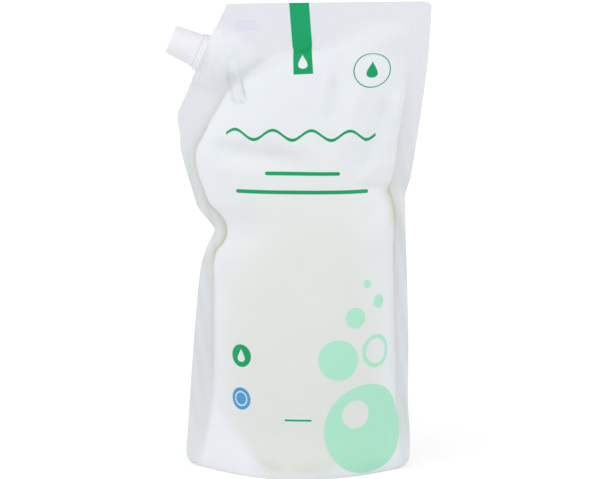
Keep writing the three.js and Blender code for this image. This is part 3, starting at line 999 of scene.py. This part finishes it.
def film_material(film):
    """Blown polyethylene laminate, milky and printed. Its sheen is soft and breaks up on fine ripples, light
    goes a little way in, and the welds show the faint upright streaks that the sealing bars leave."""
    material, shader, add = new_material("Milky polyethylene laminate film", {
        "IOR": 1.5, "Specular IOR Level": 0.22, "Subsurface Weight": 0.15,
        "Subsurface Radius": (1, 1, 1), "Subsurface Scale": 2 * MM})
    weld, thick, soap, fin, soap_and_shade = [add("Attribute", attribute_name=name)["Fac"] for name in SHARES]
    body = add("Mix", {"Factor": soap, 6: film.empty, 7: film.filled}, data_type="RGBA")[2]
    seal = add("Mix", {"Factor": soap, 6: film.upper_seal, 7: film.lower_seal}, data_type="RGBA")[2]
    welded = add("Mix", {"Factor": thick, 6: seal, 7: film.thick_seal}, data_type="RGBA")[2]
    milky = add("Mix", {"Factor": weld, 6: body, 7: welded}, data_type="RGBA")[2]
    # Soap along the creases, with the creases' shade painted into the colour.
    lined = add("Mix", {"Factor": soap_and_shade, 6: milky, 7: film.caught_soap}, data_type="RGBA")[2]
    inked = printed(add, film, lined, fin)

    place = add("TexCoord")["Object"]
    # Clouds of uneven thickness 14 mm across, ripples 3.5 mm apart, and a grain of 0.6 mm, drawn coarser than
    # the real 0.1 mm so that it shows.
    clouds, ripples, grain = [
        add("TexNoise", {"Vector": place, "Scale": 1 / (size * MM), "Detail": detail})["Fac"]
        for size, detail in ((14, 3), (3.5, 2), (0.6, 1))]
    # Streaks of the sealing bars: 1.6 mm apart, 60 mm long.
    spacing = (1 / (1.6 * MM), 1 / (1.6 * MM), 1 / (60 * MM))
    drawn = add("VectorMath", (place, spacing), "MULTIPLY")[0]
    streaks = add("TexNoise", {"Vector": drawn, "Scale": 1.0, "Detail": 2.0})["Fac"]
    pressed = add("Mix", {"Factor": weld, 2: clouds, 3: streaks}, data_type="FLOAT")[0]
    vary_surface(add, shader, inked, (pressed, *NOISE, 0.982, 1.0), (pressed, *NOISE, 0.31, 0.41), (
        (pressed, 0.015 * MM), (ripples, 0.05 * MM), (grain, 0.006 * MM)))
    return material


def moulded_material(name, plastic, roughness):
    """Injection-moulded polyethylene: white, satin and faintly waxy, with an eroded mould's fine grain."""
    material, shader, add = new_material(name, {
        "IOR": 1.51, "Subsurface Weight": 0.15, "Subsurface Radius": (1, 1, 1),
        "Subsurface Scale": 1.5 * MM})
    place = add("TexCoord")["Object"]
    # Flow clouds 5 mm across, and a grain of 0.35 mm, drawn coarser than the real 0.05 mm so that it shows.
    clouds, grain = [
        add("TexNoise", {"Vector": place, "Scale": 1 / (size * MM), "Detail": detail})["Fac"]
        for size, detail in ((5, 3), (0.35, 2))]
    vary_surface(add, shader, plastic, (clouds, *NOISE, 0.975, 1.0), (grain, *NOISE, *roughness), (
        (grain, 0.008 * MM),))
    return material


def foam_material(foam):
    """Closed-cell polyethylene foam, skived into a disc: matt, with open cells on its faces."""
    material, shader, add = new_material("White polyethylene foam", {"IOR": 1.5, "Specular IOR Level": 0.3})
    place = add("TexCoord")["Object"]
    # Cells of 0.4 mm, rougher towards their middles, where the open cells dip, and darker there: painted
    # shade in the hollows.
    cells = add("TexVoronoi", {"Vector": place, "Scale": 1 / (0.4 * MM)})["Distance"]
    vary_surface(add, shader, foam, (cells, 0.0, 0.7, 0.9, 1.0), (cells, 0.0, 0.7, 0.9, 0.72), (
        (cells, 0.08 * MM),))
    return material


def seen_by_eye(add):
    """1 for a ray that comes from the camera, or that is mirrored or let through on its way."""
    rays = add("LightPath")
    seen = rays["Is Camera Ray"]
    for kind in ("Is Transmission Ray", "Is Glossy Ray"):
        seen = add("Math", (seen, rays[kind]), "MAXIMUM")[0]
    return seen


def paper_material(studio):
    """Matt paper with a fine tooth, lifted to white for the eye and for mirror images. Its shadow is kept."""
    material, shader, add = new_material("White paper sweep", {
        "Base Color": studio.paper_colour, "Specular IOR Level": 0.0, "Roughness": 0.9,
        "Emission Color": (1, 1, 1, 1)})
    place = add("TexCoord")["Object"]
    # Fibres about 1 mm apart.
    tooth = add("TexNoise", {"Vector": place, "Scale": 1 / (1 * MM), "Detail": 2.0})["Fac"]
    bump = add("Bump", {"Height": tooth, "Distance": 0.02 * MM, "Strength": 1.0})[0]
    # The softboxes fall off away from the pouch, so the paper there is lifted more.
    far = add("VectorMath", (place,), "LENGTH")["Value"]
    lift = add("MapRange", (far, 0.2, 1.5, studio.near_lift, studio.far_lift))[0]
    strength = add("Math", (seen_by_eye(add), lift), "MULTIPLY")[0]
    set_inputs(shader, {"Normal": bump, "Emission Strength": strength})
    return material


class POUCH_OT_film(bpy.types.Operator):
    """Build the film pack"""

    bl_idname = "pouch.film"
    bl_label = "Film pack"

    def execute(self, context):
        settings = context.scene.pouch
        bm = build_film_mesh(settings.film, settings.fitment)
        piece = finish_piece("film_pack", bm, film_material(settings.film), sharp=60)
        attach(piece, "pack")
        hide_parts("pouch")
        return {"FINISHED"}


class POUCH_OT_spout(bpy.types.Operator):
    """Build the spout"""

    bl_idname = "pouch.spout"
    bl_label = "Spout"

    def execute(self, context):
        fitment = context.scene.pouch.fitment
        plastic = moulded_material("Natural white polyethylene, moulded", fitment.spout_colour, (0.36, 0.44))
        piece = finish_piece("spout_moulding", build_spout(fitment), plastic)
        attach(piece, "pack")
        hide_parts("spout")
        return {"FINISHED"}


class POUCH_OT_cap(bpy.types.Operator):
    """Build the screw cap and the sealing disc inside it"""

    bl_idname = "pouch.cap"
    bl_label = "Screw cap"

    def execute(self, context):
        fitment = context.scene.pouch.fitment
        plastic = moulded_material("White polyethylene, moulded", fitment.cap_colour, (0.38, 0.46))
        cap = finish_piece("screw_cap", build_cap(fitment), plastic)
        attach(cap, "cap")
        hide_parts("cap")
        disc = finish_piece("sealing_disc", build_disc(fitment), foam_material(fitment.disc_colour))
        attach(disc, "liner")
        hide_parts("cap_liner")
        return {"FINISHED"}


class POUCH_OT_studio(bpy.types.Operator):
    """Build the floor, the light and the camera"""

    bl_idname = "pouch.studio"
    bl_label = "Studio"

    def execute(self, context):
        scene = context.scene
        studio = scene.pouch.studio
        scene.view_settings.view_transform = "Standard"

        bm = bmesh.new()
        bmesh.ops.create_grid(bm, x_segments=1, y_segments=1, size=6)
        finish_piece("paper_floor", bm, paper_material(studio))

        world = bpy.data.worlds.new("Studio room")
        world.use_nodes = True
        scene.world = world
        tree = world.node_tree
        add = partial(add_node, tree)
        light = add("Mix", {"Factor": seen_by_eye(add), 2: studio.room, 3: 1.0}, data_type="FLOAT")[0]
        set_inputs(tree.nodes["Background"], {"Color": (1, 1, 1, 1), "Strength": light})

        target = Vector(studio.target)
        for name, energy, size, place in (
            ("left softbox", studio.left_lamp, 1.0, (-1.25, -0.7, 0.55)),
            ("right softbox", studio.right_lamp, 1.0, (1.25, -0.7, 0.55)),
            ("top softbox", studio.top_lamp, 1.2, (-0.2, -1.0, 1.5)),
        ):
            lamp = bpy.data.lights.new(name, "AREA")
            lamp.energy = energy
            lamp.size = size
            softbox = bpy.data.objects.new(name, lamp)
            softbox.location = place
            softbox.rotation_euler = (target - Vector(place)).to_track_quat("-Z", "Y").to_euler()
            scene.collection.objects.link(softbox)

        level = math.cos(studio.elevation)
        back_off = Vector((
            math.sin(studio.azimuth) * level, -math.cos(studio.azimuth) * level, math.sin(studio.elevation)))
        view = bpy.data.cameras.new("photo view")
        view.sensor_width = 36
        view.lens = view.sensor_width * studio.distance / studio.view_width
        camera = bpy.data.objects.new("photo view", view)
        camera.location = target + back_off * studio.distance
        camera.rotation_euler = back_off.to_track_quat("Z", "Y").to_euler()
        scene.collection.objects.link(camera)
        scene.camera = camera
        return {"FINISHED"}


class POUCH_PT_panel(bpy.types.Panel):
    """Sidebar panel of the refill pouch"""

    bl_idname = "POUCH_PT_panel"
    bl_label = "Refill pouch"
    bl_space_type = "VIEW_3D"
    bl_region_type = "UI"
    bl_category = "Refill pouch"

    def draw(self, context):
        for operator in OPERATORS:
            self.layout.operator(operator.bl_idname)


OPERATORS = (POUCH_OT_film, POUCH_OT_spout, POUCH_OT_cap, POUCH_OT_studio)
CLASSES = (PouchFilm, Fitment, Studio, PouchSettings, *OPERATORS, POUCH_PT_panel)


def register():
    for item in CLASSES:
        bpy.utils.register_class(item)
    bpy.types.Scene.pouch = bpy.props.PointerProperty(type=PouchSettings)


def unregister():
    del bpy.types.Scene.pouch
    for item in reversed(CLASSES):
        bpy.utils.unregister_class(item)


def main():
    register()
    bpy.ops.pouch.film()
    bpy.ops.pouch.spout()
    bpy.ops.pouch.cap()
    bpy.ops.pouch.studio()


if __name__ == "__main__":
    main()
